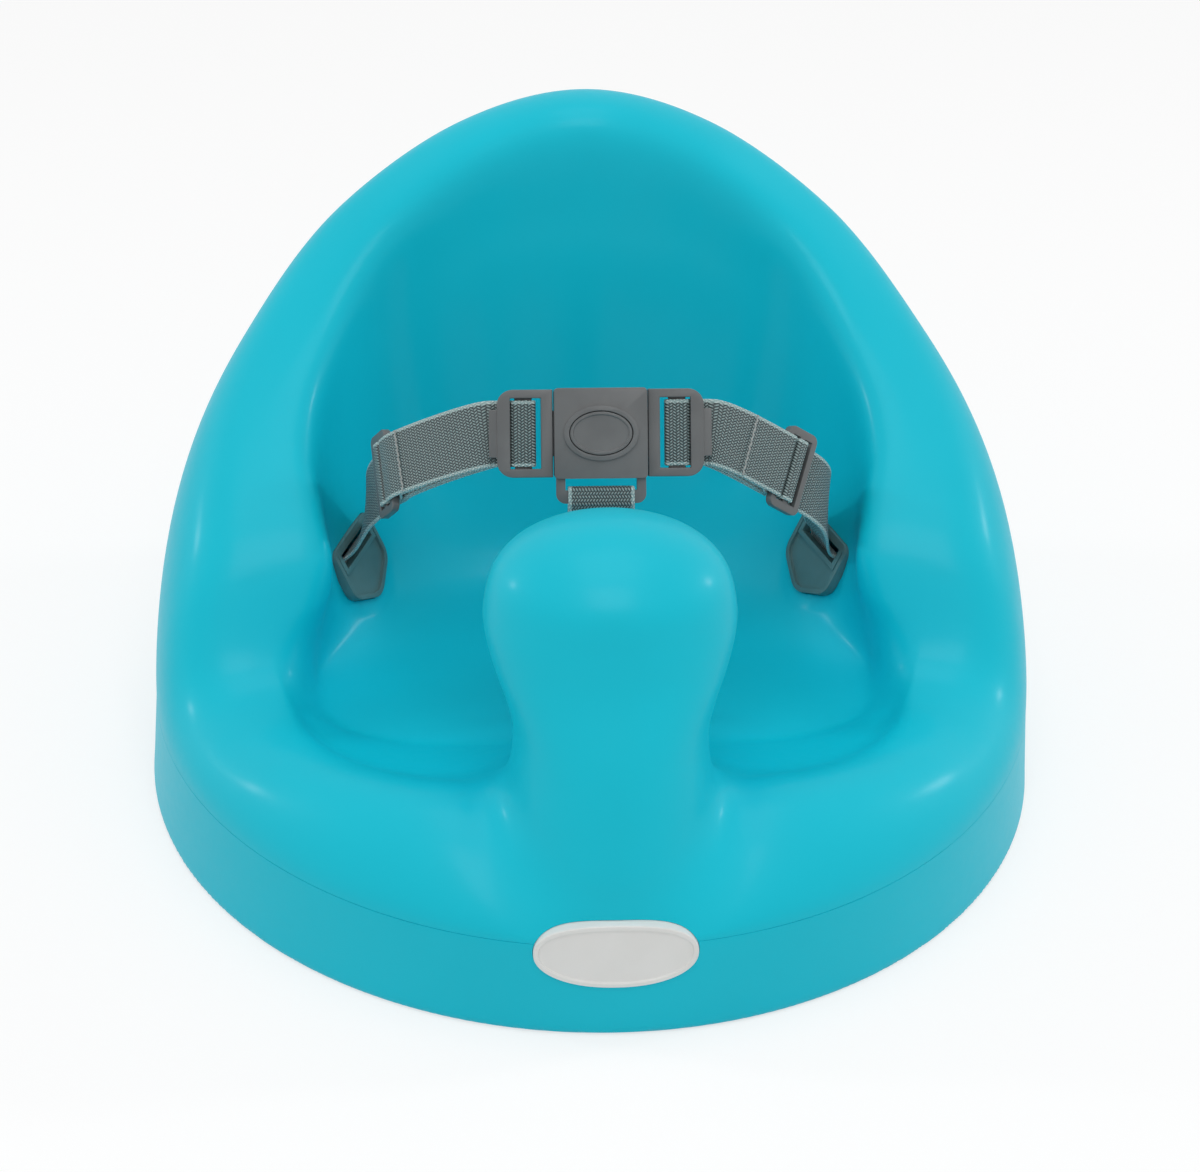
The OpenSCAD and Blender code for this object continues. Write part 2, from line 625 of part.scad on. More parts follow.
module waist_strap(side) {
    layer = web_t + soft_fit;
    top_h = bar_top + bend;
    low_h = -top_h - layer;
    // Sewn end round the slider's first bar, then the front layer to the tongue
    front = concat(
        [for (p = [[-bar_x - 12, top_h - layer], [-bar_x - 7, top_h - layer],
            [-bar_x - slider_bar - 0.6, -0.6 - bar_top], [-bar_x - slider_bar + 0.6, -top_h]]) in_slider(p)],
        [for (p = corner(-bar_x, -bar_top, -90, 0)) in_slider(p)],
        [for (p = corner(-bar_x, bar_top, 0, 90)) in_slider(p)],
        [for (i = [0:7]) [2 - i / 8, top_h + (under_lip - bend - top_h) * i / 8]],
        [for (p = corner(open_out, under_lip, 270, 180)) in_tongue(p)],
        [for (p = corner(mid_out, mid_top, 0, 90)) in_tongue(p)],
        [for (p = corner(mid_in, mid_top, 90, 180)) in_tongue(p)],
        [for (p = corner(mid_in, 0, 180, 270)) in_tongue(p)]);
    // Back layer to the slider, over its middle bar and down to the plate
    back = concat(
        [for (i = [0:8]) [1 + i / 8, -bend + (low_h + bend) * i / 8]],
        [for (p = arc([-bar_c - 2 * bend, low_h + bend], bend, -90, 0, 4)) in_slider(p)],
        [for (p = corner(-bar_c, bar_top, 180, 90)) in_slider(p)],
        [for (p = corner(bar_c, bar_top, 90, 0)) in_slider(p)],
        [for (p = arc([bar_c + 2 * bend, -bar_top], bend, 180, 270, 4)) in_slider(p)],
        [for (i = [0:15]) [3 + i / 16, -top_h * (1 - i / 16)]],
        [[4, 0], [4.5, 0]]);
    color(WEBBING) ribbon(concat(
        [for (p = concat(front, back)) on_spine(side, p)],
        [for (q = rod_loop(slot_run(side))) [rod_place(side, q), spine_up(side, 5)]]));
}

tail_end = 0.86;                        // where the crotch strap's sewn tail ends, on its rise

module crotch_strap() {
    // Places beside the buckle's bar, in the buckle's own upright plane
    function beside(p) = from_buckle([0, p[0], p[1]]);
    bar_low = loop_y;
    bar_high = loop_y + loop_bar;
    bar_front = loop_front;
    bar_back = loop_back;
    pan = [0, crotch_y, pan_h + plate_t / 2 - plate_sink];
    run = [0, rod_z - pan[2]];
    bottom = beside([bar_low, bar_front + bend]);
    pull = norm(bottom - pan) * 0.4;
    slack = bezier([pan, pan + [0, 0, pull], bottom - [0, -2, pull * 0.85], bottom], tail_end);
    sewn = [for (i = [12:-1:0]) let (q = rod_loop(run)[i]) rod_at_crotch + [0, q[0], q[1]]];
    rise = [for (i = [0:12]) bezier([pan, pan + [0, 0, pull], bottom - [0, -2, pull * 0.85], bottom], i / 12)];
    wrap = concat(
        [for (a = [90:-22.5:0]) beside([bar_high + bend * cos(a), bar_front + bend * sin(a)])],
        [for (a = [0:-22.5:-90]) beside([bar_high + bend * cos(a), bar_back + bend * sin(a)])]);
    tail_top = beside([bar_low, bar_back - bend]);
    tail = [tail_top, tail_top + [0, -1, -5], slack + [0, web_t + soft_fit + 0.6, 0]];
    color(WEBBING) ribbon([for (p = concat(sewn, rise, wrap, tail)) [p, [1, 0, 0]]]);
}

foam_seat();
badge_plate();
anchor_frame(-1) anchor_plate();  // anchor_plate_left
anchor_frame(1) anchor_plate();  // anchor_plate_right
crotch_frame() anchor_plate();  // anchor_plate_crotch
rod_frame(-1) retainer_rod();  // retainer_rod_left
rod_frame(1) retainer_rod();  // retainer_rod_right
translate(rod_at_crotch) retainer_rod();  // retainer_rod_crotch
waist_strap(-1);  // waist_strap_left
waist_strap(1);  // waist_strap_right
crotch_strap();
at_slider(-1) slider();  // slider_left
at_slider(1) slider();  // slider_right
buckle_front();
buckle_back();
buckle_button();
button_spring();
at_buckle() mirror([1, 0, 0]) tongue();  // tongue_left
at_buckle() tongue();  // tongue_right
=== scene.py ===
"""Looks of a baby floor seat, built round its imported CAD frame.

Metres in Blender, millimetres in the shape functions, which follow the part's
own. +Z is up, and the seat faces -Y.
"""
import math

import bmesh
import bpy
import numpy as np
from mathutils import Matrix, Vector
from mathutils.bvhtree import BVHTree
from mathutils.kdtree import KDTree


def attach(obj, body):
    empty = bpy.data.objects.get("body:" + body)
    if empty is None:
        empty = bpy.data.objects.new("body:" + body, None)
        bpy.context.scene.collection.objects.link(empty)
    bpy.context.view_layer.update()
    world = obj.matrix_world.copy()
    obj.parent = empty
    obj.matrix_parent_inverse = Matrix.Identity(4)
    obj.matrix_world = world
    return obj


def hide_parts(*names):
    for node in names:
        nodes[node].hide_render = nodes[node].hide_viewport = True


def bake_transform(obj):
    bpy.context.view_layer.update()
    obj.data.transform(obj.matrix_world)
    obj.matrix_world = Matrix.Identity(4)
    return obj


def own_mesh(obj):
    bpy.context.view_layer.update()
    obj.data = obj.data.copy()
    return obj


MM = 0.001
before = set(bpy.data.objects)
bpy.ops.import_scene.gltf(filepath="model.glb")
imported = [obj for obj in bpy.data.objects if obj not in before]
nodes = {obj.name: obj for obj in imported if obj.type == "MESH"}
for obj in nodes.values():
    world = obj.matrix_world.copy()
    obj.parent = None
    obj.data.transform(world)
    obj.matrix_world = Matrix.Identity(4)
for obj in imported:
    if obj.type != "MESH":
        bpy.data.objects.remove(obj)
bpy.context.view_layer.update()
scene = bpy.context.scene

# ---- Sizes, in millimetres, as in the part --------------------------------

base_r = 174.5
band_h = 39
band_draft = 3
back_h = 237
arm_h = 111
lip_h = 70
pan_h = 46
pommel_h = 166
pommel_w = 93
neck_w = 71
badge_w = 60
badge_h = 26.5
badge_z = 35.5
badge_proud = 1.2
web_w = 25
web_t = 1.2
plate_w = 37
plate_h = 30
plate_t = 4
plate_sink = 1.2
anchor_turn = 110
anchor_at = 0.46
crotch_y = -33
rod_d = 5
buckle_h = 34
buckle_w = 35
buckle_tilt = 30
tongue_w = 21
slider_bar = 2.6
slider_gap = 3.9
fit = 0.3
soft_fit = 0.3
buckle_at = np.array([-0.5, -24, 165])
slider_at = {-1: np.array([-82.0, 4, 131]), 1: np.array([75.0, -8, 138])}
slider_dir = {-1: np.array([-0.35, 0.62, -0.70]), 1: np.array([0.73, 0.30, -0.61])}

# Stations of the seat's wall: angle from the front, crest radius, crest height,
# rise and reach of the outer curve, reach of the inner curve, wall radius,
# height and lean, radius of the pan's edge, and how soft that edge is
stations = np.array([
    [0, 116, lip_h - 12, 6, 30, 12, 84, pan_h + 7, 16, 56, 0.2],
    [22, 134, lip_h, 9, 20, 14, 98, pan_h + 11, 16, 60, 0.2],
    [36, 142, lip_h - 1, 8, 18, 15, 108, pan_h + 10, 15, 69, 0.2],
    [52, 145, lip_h - 5, 8, 19, 16, 119, pan_h + 8, 16, 90, 0.2],
    [64, 141, lip_h - 7, 10, 24, 16, 122, pan_h + 8, 28, 106, 0.25],
    [74, 137, lip_h, 13, 28, 20, 119, pan_h + 13, 60, 113, 0.4],
    [84, 137, arm_h - 9, 22, 31, 30, 105, arm_h - 30, 98, 114, 0.8],
    [94, 139, arm_h + 9, 30, 33, 30, 106, arm_h - 18, 94, 98, 1],
    [104, 142, arm_h + 23, 38, 33, 26, 110, arm_h - 4, 82, 76, 1.2],
    [122, 147, 158, 58, 30, 25, 118, 132, 78, 68, 1.5],
    [140, 147, 192, 80, 27, 26, 120, 154, 78, 64, 1.5],
    [158, 133, 223, 104, 27, 25, 108, 178, 77, 58, 1.5],
    [180, 125, back_h, 116, 27, 25, 99, 186, 77, 56, 1.5],
], float)

# Sections of the pommel: height, centre y, half width, half depth
pommel = np.array([
    [pan_h - 6, 53.5 - base_r, neck_w * 0.68, 51.5],
    [lip_h - 12, 53.5 - base_r, neck_w * 0.585, 47.5],
    [lip_h + 6, 54.5 - base_r, neck_w * 0.53, 41],
    [lip_h + 28, 60.5 - base_r, neck_w * 0.51, 37],
    [pommel_h - 46, 72.5 - base_r, pommel_w * 0.475, 36],
    [pommel_h - 32, 79.5 - base_r, pommel_w * 0.50, 37],
    [pommel_h - 16, 82.5 - base_r, pommel_w * 0.445, 33],
    [pommel_h - 5, 83.5 - base_r, pommel_w * 0.28, 20],
    [pommel_h, 83.5 - base_r, 0.5, 0.5],
], float)


# ---- Curves ------------------------------------------------------------------

def unit(v):
    v = np.asarray(v, float)
    return v / np.linalg.norm(v)


def hermite(p, q, dp, dq, t):
    """Cubic from p to q with end slopes dp and dq, over one unit of t."""
    return (p * (1 + 2 * t) * (1 - t) ** 2 + q * t * t * (3 - 2 * t)
            + dp * t * (1 - t) ** 2 - dq * t * t * (1 - t))


def bezier(p, t):
    return (p[0] * (1 - t) ** 3 + 3 * p[1] * t * (1 - t) ** 2
            + 3 * p[2] * t * t * (1 - t) + p[3] * t ** 3)


def bezier_slope(p, t):
    """A third of the slope, which is enough for its direction."""
    return (p[1] - p[0]) * (1 - t) ** 2 + (p[2] - p[1]) * 2 * t * (1 - t) + (p[3] - p[2]) * t * t


def heading(turn):
    """The direction turn degrees above the first axis."""
    return np.array([math.cos(math.radians(turn)), math.sin(math.radians(turn))])


def station_at(a):
    """The row of wall values at plan angle a, on a smooth curve through the stations."""
    last = len(stations) - 1
    i = min(int(np.searchsorted(stations[:, 0], a, side="right")) - 1, last - 1)
    p, q = stations[i], stations[i + 1]
    d = q[0] - p[0]

    def slope(k):
        if k in (0, last):
            return np.zeros(p.shape)
        return (stations[k + 1] - stations[k - 1]) / (stations[k + 1][0] - stations[k - 1][0])
    return hermite(p, q, d * slope(i), d * slope(i + 1), (a - p[0]) / d)


def inner_curve(a):
    """The inner wall at angle a, from the wall point down to the pan, as (radius, height)."""
    wall_r, wall_h, lean, edge_r, soft = station_at(a)[6:]
    wall = np.array([wall_r, wall_h])
    pan = np.array([edge_r, pan_h])
    far = np.linalg.norm(wall - pan)
    handle = soft * max(6, (wall_r - edge_r) * 0.4) + (1 - soft) * 3
    return [wall, wall - heading(lean) * far * max(0.45, 0.8 - 0.35 * soft),
            pan + np.array([handle, 0]), pan]


def meridian(a, n_outer=26, n_over=34, n_inner=36):
    """Outline of the wall at angle a, from the floor round the rim to the pan's middle."""
    s = station_at(a)
    crest_r, crest_h, outer_rise, outer_reach, inner_reach = s[1:6]
    crest = np.array([crest_r, crest_h])
    inner = inner_curve(a)
    outer = [np.array([base_r, band_h]), np.array([base_r, band_h + outer_rise]),
             crest + np.array([outer_reach, 0]), crest]
    over = [crest, crest - np.array([inner_reach, 0]),
            inner[0] + heading(s[8]) * np.linalg.norm(crest - inner[0]) * 0.6, inner[0]]
    foot_r = 2.5
    foot = [np.array([base_r + band_draft - foot_r * (1 - math.sin(q)), foot_r * (1 - math.cos(q))])
            for q in np.linspace(0, math.pi / 2, 5)]
    band = [np.array([base_r + band_draft * (1 - z / band_h), z]) for z in (8, 16, 24, 32)]
    points = foot + band
    points += [bezier(outer, t) for t in np.arange(n_outer) / n_outer]
    points += [bezier(over, t) for t in np.arange(n_over) / n_over]
    points += [bezier(inner, t) for t in np.arange(n_inner + 1) / n_inner]
    points += [np.array([inner[3][0] * k, pan_h]) for k in (0.75, 0.5, 0.25)]
    return np.array(points)


# ---- Frames of the harness's pieces -------------------------------------------

anchor_curve = inner_curve(anchor_turn)
anchor_p = bezier(anchor_curve, anchor_at)
anchor_d = unit(-bezier_slope(anchor_curve, anchor_at))
anchor_s = math.sin(math.radians(anchor_turn))
anchor_c = math.cos(math.radians(anchor_turn))
anchor_o = np.array([anchor_p[0] * anchor_s, -anchor_p[0] * anchor_c, anchor_p[1]])
anchor_y = np.array([anchor_d[0] * anchor_s, -anchor_d[0] * anchor_c, anchor_d[1]])
anchor_x = -np.array([anchor_c, anchor_s, 0])
anchor_z = np.cross(anchor_x, anchor_y)

slot_y = plate_h / 2 - 6.5
slot_l = web_w + 2
pocket_h = 12
pocket_l = 44
pocket_w = 18
channel_t = 7
rod_z = pocket_h - rod_d / 2 - fit
rod_r = anchor_p[0] + 22
rod_at = {side: np.array([side * rod_r * anchor_s, -rod_r * anchor_c, rod_z]) for side in (-1, 1)}
rod_at[0] = np.array([0, crotch_y, rod_z])
bend = web_t / 2 + soft_fit
loop_r = rod_d / 2 + bend


def anchor_point(side, p):
    """A place in a waist anchor's frame: to the front, up the wall, out of the wall."""
    q = anchor_o + anchor_x * p[0] + anchor_y * p[1] + anchor_z * p[2]
    return np.array([side * q[0], q[1], q[2]])


def crotch_point(p):
    """A place in the crotch plate's frame, on the pan."""
    return np.array([-p[0], crotch_y + slot_y - p[1], pan_h + p[2]])


def from_buckle(p):
    """A place in the buckle's frame: across, up its face, out of its face."""
    tilt_c, tilt_s = heading(buckle_tilt)
    return buckle_at + np.array([p[0], p[1] * tilt_s - p[2] * tilt_c, p[1] * tilt_c + p[2] * tilt_s])


def rod_point(side, p):
    """A place in a rod's frame: along it, square to it, up."""
    turn_c, turn_s = heading(side * anchor_turn)
    return rod_at[side] + np.array([p[0] * turn_c - p[1] * turn_s, p[0] * turn_s + p[1] * turn_c, p[2]])


def support_ring(circles, grow, count=160):
    """Outline round the hull of circles, as (x, y) points, one for each direction."""
    turn = 2 * np.pi * (np.arange(count) + 0.5) / count
    away = np.column_stack([np.cos(turn), np.sin(turn)])
    middles = np.array([c[:2] for c in circles])
    radii = np.array([c[2] for c in circles])
    best = np.argmax(away @ middles.T + radii, axis=1)
    return middles[best] + away * (radii[best] + grow)[:, None]


plate_corner, plate_side, plate_foot = 4, 8, 11
plate_circles = [(x * (plate_w / 2 - plate_corner), plate_h / 2 - plate_corner, plate_corner)
                 for x in (-1, 1)]
plate_circles += [(x * (plate_w / 2 - plate_side), -2, plate_side) for x in (-1, 1)]
plate_circles += [(0, -plate_h / 2 + plate_foot, plate_foot)]


# ---- Mesh helpers -----------------------------------------------------------

def add_mesh(name, points, faces, material=None):
    """A smooth mesh object from points in millimetres."""
    mesh = bpy.data.meshes.new(name)
    mesh.from_pydata((np.asarray(points, float) * MM).tolist(), [], [list(f) for f in faces])
    mesh.validate()
    mesh.update()
    obj = bpy.data.objects.new(name, mesh)
    scene.collection.objects.link(obj)
    mesh.shade_smooth()
    if material:
        mesh.materials.append(material)
    return obj


def grid_faces(rows, columns, closed_rows=False, closed_columns=False):
    """Quads over a grid of points in row order."""
    faces = []
    for i in range(rows if closed_rows else rows - 1):
        for j in range(columns if closed_columns else columns - 1):
            a, b = i * columns, (i + 1) % rows * columns
            k = (j + 1) % columns
            faces.append((a + j, a + k, b + k, b + j))
    return faces


def tube_faces(rings, sides):
    """Faces of a tube through rings of points, with both ends closed."""
    ends = [tuple(range(sides))[::-1], tuple(range((rings - 1) * sides, rings * sides))]
    return grid_faces(rings, sides, closed_columns=True) + ends


def applied(obj):
    """Applies the object's modifiers to its mesh."""
    depsgraph = bpy.context.evaluated_depsgraph_get()
    mesh = bpy.data.meshes.new_from_object(obj.evaluated_get(depsgraph))
    obj.modifiers.clear()
    obj.data = mesh
    return obj


def coords(obj):
    co = np.zeros(len(obj.data.vertices) * 3)
    obj.data.vertices.foreach_get("co", co)
    return co.reshape(-1, 3)


def normals(obj):
    no = np.zeros(len(obj.data.vertices) * 3)
    obj.data.vertex_normals.foreach_get("vector", no)
    return no.reshape(-1, 3)


def set_coords(obj, co):
    obj.data.vertices.foreach_set("co", co.astype(np.float32).ravel())
    obj.data.update()


def relax(co, edges, weight, steps):
    """Moves each point towards the mean of its neighbours, by its weight."""
    n = len(co)
    a, b = edges[:, 0], edges[:, 1]
    count = np.bincount(a, minlength=n) + np.bincount(b, minlength=n)
    for _ in range(steps):
        mean = np.empty_like(co)
        for k in range(3):
            mean[:, k] = np.bincount(a, co[b, k], n) + np.bincount(b, co[a, k], n)
        mean /= count[:, None]
        co = co + (mean - co) * weight[:, None]
    return co


def edges_of(obj):
    e = np.zeros(len(obj.data.edges) * 2, np.int64)
    obj.data.edges.foreach_get("vertices", e)
    return e.reshape(-1, 2)


# ---- Materials -----------------------------------------------------------------

class Nodes:
    """Short calls for building one material's node tree."""

    def __init__(self, name):
        self.material = bpy.data.materials.new(name)
        self.material.use_nodes = True
        self.tree = self.material.node_tree
        self.tree.nodes.clear()
        self.out = self.tree.nodes.new("ShaderNodeOutputMaterial")

    def node(self, kind, inputs=None, **settings):
        n = self.tree.nodes.new(kind)
        for k, v in settings.items():
            setattr(n, k, v)
        for k, v in (inputs or {}).items():
            self.put(n.inputs[k], v)
        return n

    def put(self, socket, value):
        if isinstance(value, bpy.types.NodeSocket):
            self.tree.links.new(value, socket)
        else:
            socket.default_value = value

    def math(self, operation, *values):
        return self.node("ShaderNodeMath", dict(enumerate(values)), operation=operation).outputs[0]

    def varied(self, base, value, share):
        """base + value * share."""
        return self.math("ADD", base, self.math("MULTIPLY", value, share))

    def mix(self, factor, a, b):
        """Mixes two colours."""
        return self.node("ShaderNodeMix", {"Factor": factor, 6: a, 7: b}, data_type="RGBA").outputs[2]

    def ramp(self, value, low, high):
        """0 below low, 1 above high, smooth between."""
        return self.node("ShaderNodeMapRange", {0: value, 1: low, 2: high},
                         interpolation_type="SMOOTHSTEP").outputs[0]

    def noise(self, vector, scale, detail=2.0, roughness=0.5):
        inputs = {"Vector": vector, "Scale": scale, "Detail": detail, "Roughness": roughness}
        return self.node("ShaderNodeTexNoise", inputs).outputs[0]

    def position(self):
        return self.node("ShaderNodeTexCoord").outputs["Object"]

    def uv(self):
        n = self.node("ShaderNodeSeparateXYZ", {0: self.node("ShaderNodeTexCoord").outputs["UV"]})
        return n.outputs[0], n.outputs[1]

    def bump(self, height, distance, strength=1.0):
        inputs = {"Height": height, "Distance": distance, "Strength": strength}
        return self.node("ShaderNodeBump", inputs).outputs[0]

    def surface(self, **sockets):
        inputs = {k.replace("_", " "): v for k, v in sockets.items()}
        self.put(self.out.inputs[0], self.node("ShaderNodeBsdfPrincipled", inputs).outputs[0])
        return self.material


def srgb(*levels):
    """A colour written as 0 to 255, as linear values."""
    shares = [level / 255 for level in levels]
    return tuple(c / 12.92 if c <= 0.04045 else ((c + 0.055) / 1.055) ** 2.4 for c in shares) + (1.0,)


def foam_material():
    """Self-skinned foam: satin skin, fine pores, faint drift of colour."""
    m = Nodes("moulded_foam")
    at = m.position()
    drift = m.noise(at, 9, 3)
    pores = m.noise(at, 900, 3, 0.6)
    grain = m.noise(at, 260)
    colour = m.mix(m.ramp(drift, 0.3, 0.7), srgb(0, 196, 218), srgb(0, 200, 222))
    rough = m.varied(0.45, grain, 0.10)
    height = m.math("ADD", m.math("MULTIPLY", pores, 0.6), m.math("MULTIPLY", grain, 0.4))
    return m.surface(Base_Color=colour, Roughness=rough, Normal=m.bump(height, 0.00006, 0.5),
                     Specular_IOR_Level=0.4, Specular_Tint=(0.45, 0.85, 0.95, 1),
                     Coat_Weight=0.13, Coat_Roughness=0.21)


def plastic_material(name, colour, worn, roughness):
    """Moulded plastic with a fine spark-eroded grain."""
    m = Nodes(name)
    at = m.position()
    grain = m.noise(at, 1400)
    cloud = m.noise(at, 60, 3)
    tint = m.mix(m.ramp(cloud, 0.35, 0.65), colour, worn)
    rough = m.varied(roughness, cloud, 0.08)
    return m.surface(Base_Color=tint, Roughness=rough, Normal=m.bump(grain, 0.00004, 0.45))


def webbing_material():
    """Woven webbing: ribs across the strap, each of slanted strokes that lean the
    other way in the next rib, between pale selvedges. Its colour is darker where the
    weave is low and paler where it is high: painted shade in the hollows and
    painted highlight on the crowns, laid over the weave's own stroke pattern."""
    m = Nodes("woven_webbing")
    u, v = m.uv()
    rib, stroke = 1.3, 1.15
    place = m.math("DIVIDE", u, rib)
    within = m.math("FRACT", place)
    odd = m.math("MODULO", m.math("FLOOR", place), 2)
    turn = m.math("SUBTRACT", m.math("MULTIPLY", odd, 2), 1)
    lean = m.math("MULTIPLY", m.math("MULTIPLY", within, turn), 0.55)
    phase = m.math("ADD", m.math("DIVIDE", v, stroke), lean)
    strokes = m.math("SINE", m.math("MULTIPLY", phase, 2 * math.pi))
    crown = m.math("POWER", m.math("SINE", m.math("MULTIPLY", within, math.pi)), 0.6)
    height = m.math("MULTIPLY", crown, m.varied(0.5, strokes, 0.5))
    edge = m.ramp(m.math("ABSOLUTE", v), web_w / 2 - 1.5, web_w / 2 - 1.1)
    # Mixed by the weave's height: painted shade in the hollows between strokes and painted highlight on
    # their crowns, for the body and the selvedges alike
    body = m.mix(height, srgb(16, 34, 38), srgb(164, 186, 186))
    pale = m.mix(height, srgb(146, 176, 176), srgb(214, 230, 228))
    fuzz = m.noise(m.position(), 2500)
    colour = m.mix(edge, body, pale)
    rough = m.varied(0.3, fuzz, 0.2)
    relief = m.varied(height, fuzz, 0.15)
    return m.surface(Base_Color=colour, Roughness=rough, Normal=m.bump(relief, 0.0004),
                     Sheen_Weight=0.2, Sheen_Roughness=0.4)


def thread_material():
    """Pale sewing thread."""
    m = Nodes("sewing_thread")
    twist = m.noise(m.position(), 1800)
    colour = m.mix(twist, srgb(126, 132, 132), srgb(188, 192, 190))
    return m.surface(Base_Color=colour, Roughness=0.6, Normal=m.bump(twist, 0.0001, 0.6))


def steel_material():
    """Plated steel of the rods and the spring."""
    m = Nodes("plated_steel")
    streak = m.noise(m.position(), 700)
    colour = m.mix(streak, srgb(176, 178, 180), srgb(205, 206, 208))
    return m.surface(Base_Color=colour, Metallic=1.0, Roughness=m.varied(0.25, streak, 0.12))


def badge_material():
    """Bare pale plate, satin, slightly warm."""
    m = Nodes("bare_badge")
    at = m.position()
    cloud = m.noise(at, 80, 3)
    colour = m.mix(cloud, srgb(232, 232, 229), srgb(240, 240, 238))
    return m.surface(Base_Color=colour, Roughness=m.varied(0.28, cloud, 0.08),
                     Normal=m.bump(m.noise(at, 1100), 0.00002, 0.4))


FOAM = foam_material()
HARDWARE = plastic_material("moulded_hardware", srgb(97, 99, 100), srgb(104, 106, 107), 0.36)
# The plates' teal tint is painted reflection: it stands in for cyan light bounced onto grey plastic
# from the foam round them
PLATE_TINTED_BY_PAINTED_BOUNCE = plastic_material("plate_with_painted_bounce", srgb(84, 117, 119), srgb(92, 125, 127), 0.46)
WEBBING = webbing_material()
THREAD = thread_material()
STEEL = steel_material()
BADGE = badge_material()


# ---- Foam seat ------------------------------------------------------------------

def wall_mesh(turns=240):
    """The wall's outline at every angle, closed under the floor and over the pan."""
    points = []
    for i in range(turns):
        a = 360 * i / turns
        m = meridian(min(a, 360 - a))
        s, c = math.sin(math.radians(a)), math.cos(math.radians(a))
        points.append(np.column_stack([m[:, 0] * s, -m[:, 0] * c, m[:, 1]]))
    rows = len(points[0])
    faces = grid_faces(turns, rows, closed_rows=True)
    flat = np.concatenate(points + [[[0, 0, 0], [0, 0, pan_h]]])
    under = turns * rows
    for i in range(turns):
        a, b = i * rows, (i + 1) % turns * rows
        faces.append((under, a, b))
        faces.append((under + 1, b + rows - 1, a + rows - 1))
    return flat, faces


def pommel_mesh(around=120, between=10):
    """The pommel, lofted through its sections and closed at both ends."""
    last = len(pommel) - 1
    slopes = [pommel[1] - pommel[0]]
    slopes += [(pommel[i + 1] - pommel[i - 1]) / 2 for i in range(1, last)]
    slopes += [np.array([0, 0, -pommel_w * 0.25, -18])]
    sections = [hermite(pommel[i], pommel[i + 1], slopes[i], slopes[i + 1], k / between)
                for i in range(last) for k in range(between)] + [pommel[last]]
    turn = np.radians(np.arange(around) * 360 / around)
    points = [np.column_stack([half_w * np.cos(turn), y + half_d * np.sin(turn), np.full(around, z)])
              for z, y, half_w, half_d in sections]
    faces = [tuple(reversed(f)) for f in grid_faces(len(sections), around, closed_columns=True)]
    flat = np.concatenate(points + [[[0, s[1], s[0]] for s in (sections[0], sections[-1])]])
    n = len(sections) * around
    top = (len(sections) - 1) * around
    for k in range(around):
        j = (k + 1) % around
        faces.append((n, j, k))
        faces.append((n + 1, top + k, top + j))
    return flat, faces


def outward(obj):
    """Turns the faces of a closed mesh outward."""
    bm = bmesh.new()
    bm.from_mesh(obj.data)
    bmesh.ops.recalc_face_normals(bm, faces=bm.faces)
    bm.to_mesh(obj.data)
    bm.free()


def tree_of(obj):
    faces = [list(p.vertices) for p in obj.data.polygons]
    return BVHTree.FromPolygons([v.co for v in obj.data.vertices], faces)


def rise(x, low, high):
    """0 below low, 1 above high, smooth between."""
    t = np.clip((x - low) / (high - low), 0, 1)
    return t * t * (3 - 2 * t)


def sweep_weight(co):
    """Where the bowl's side runs into the pan in one soft sweep: behind the leg
    wells, round the pan's edge, clear of the anchor plates' seats."""
    p = co / MM
    turn = np.degrees(np.arctan2(np.abs(p[:, 0]), -p[:, 1]))
    out = np.hypot(p[:, 0], p[:, 1])
    up = p[:, 2] - pan_h
    behind, beyond, under = rise(turn, 62, 84), rise(out, 30, 46), rise(-up, -40, -18)
    weight = behind * beyond * under * (up > -1) * (out < 130)
    for side in (-1, 1):
        weight *= rise(np.linalg.norm(p - anchor_point(side, (0, 0, 0)), axis=1), 21, 31)
    return weight


def make_foam():
    """One closed skin round the wall and the pommel, with the harness's openings cut."""
    voxel, still = 1.5 * MM, 2.5 * MM
    reach, touch = 15 * MM, 1.7 * MM
    skin_steps, fillet_steps, sweep_steps = 6, 150, 320
    wall = add_mesh("wall_form", *wall_mesh())
    post = add_mesh("pommel_form", *pommel_mesh())
    outward(wall)
    outward(post)
    tree_wall, tree_post = tree_of(wall), tree_of(post)
    low, high = coords(post).min(0), coords(post).max(0)
    with bpy.context.temp_override(active_object=wall, selected_editable_objects=[wall, post],
                                   object=wall, selected_objects=[wall, post]):
        bpy.ops.object.join()
    remesh = wall.modifiers.new("remesh", "REMESH")
    remesh.mode = "VOXEL"
    remesh.voxel_size = voxel
    remesh.use_smooth_shade = True
    foam = applied(wall)
    foam.name = "foam_body"
    co, edges = coords(foam), edges_of(foam)
    co = relax(co, edges, np.where(co[:, 2] > still, 0.5, 0.0), skin_steps)
    set_coords(foam, co)
    # A moulded fillet along the line where the pommel grows out of the wall
    close = ((co > low - reach) & (co < high + reach)).all(1)
    near = np.where(close & (co[:, 2] > pan_h * 0.9 * MM))[0]
    root = [i for i in near if all(tree.find_nearest(Vector(co[i]), touch)[0] is not None
                                   for tree in (tree_wall, tree_post))]
    finder = KDTree(len(root))
    for k, i in enumerate(root):
        finder.insert(Vector(co[i]), k)
    finder.balance()
    weight = np.zeros(len(co))
    for i in near:
        weight[i] = max(0.0, 1 - finder.find(Vector(co[i]))[2] / reach)
    lift = weight ** 2 * reach / 6
    co = co + normals(foam) * lift[:, None]
    co = relax(co, edges, np.clip(weight * 1.5, 0, 1) * 0.5, fillet_steps)
    set_coords(foam, relax(co, edges, sweep_weight(co) * 0.5, sweep_steps))
    cut(foam, foam_cutters())
    return foam


def cut(obj, tools):
    """Takes closed solids out of a closed solid."""
    for tool in tools:
        outward(tool)
        step = obj.modifiers.new("cut", "BOOLEAN")
        step.operation, step.solver, step.object = "DIFFERENCE", "MANIFOLD", tool
    applied(obj)
    for tool in tools:
        bpy.data.objects.remove(tool)
    obj.data.shade_smooth()
    obj.data.set_sharp_from_angle(angle=math.radians(35))


